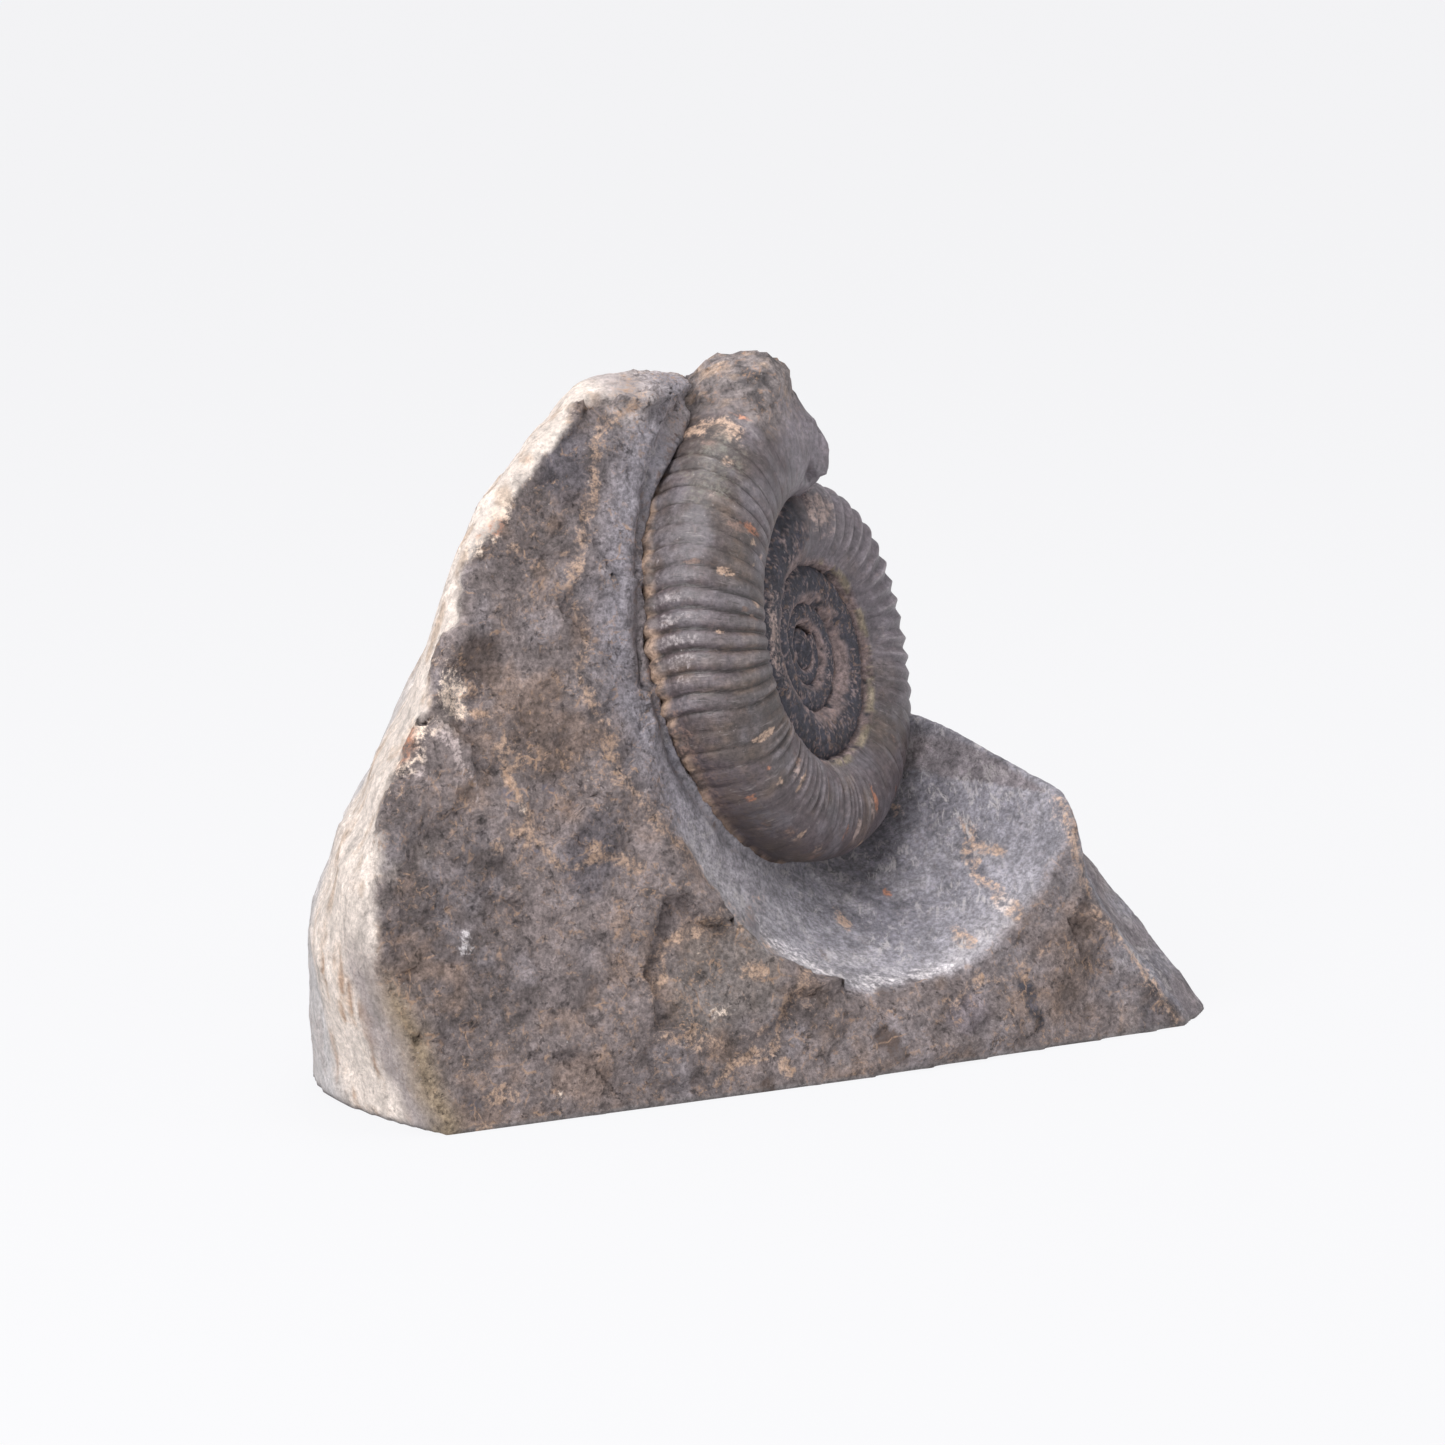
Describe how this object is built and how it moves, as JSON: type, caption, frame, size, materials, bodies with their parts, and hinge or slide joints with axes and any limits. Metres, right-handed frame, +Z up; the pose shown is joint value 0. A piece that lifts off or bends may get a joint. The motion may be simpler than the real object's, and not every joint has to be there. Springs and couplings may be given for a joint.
{
  "type": "ammonite fossil",
  "caption": "Coiled, ribbed ammonite standing in high relief from a freestanding block of grey-brown host rock with a prepared hollow around the shell and a flat sawn base.",
  "frame": {"origin": "middle of the whole piece's box, on the plane of the flat sawn base", "axes": "+X along the long front edge of the base, from the tall end to the low pointed end; +Y from the broken front face to the back; +Z up, out of the base"},
  "size_m": [0.1548, 0.067, 0.1076],
  "materials": {
    "host_rock": "rough broken grey-brown limestone with rusty flecks, a pale weathered rind on one side and a smoother blue-grey prepared hollow",
    "ammonite": "dark grey-brown petrified shell with a soft satin sheen, paler rib crests and rusty patches"
  },
  "bodies": {
    "root": {"host_rock": "host_rock", "ammonite": "ammonite"}
  },
  "joints": []
}
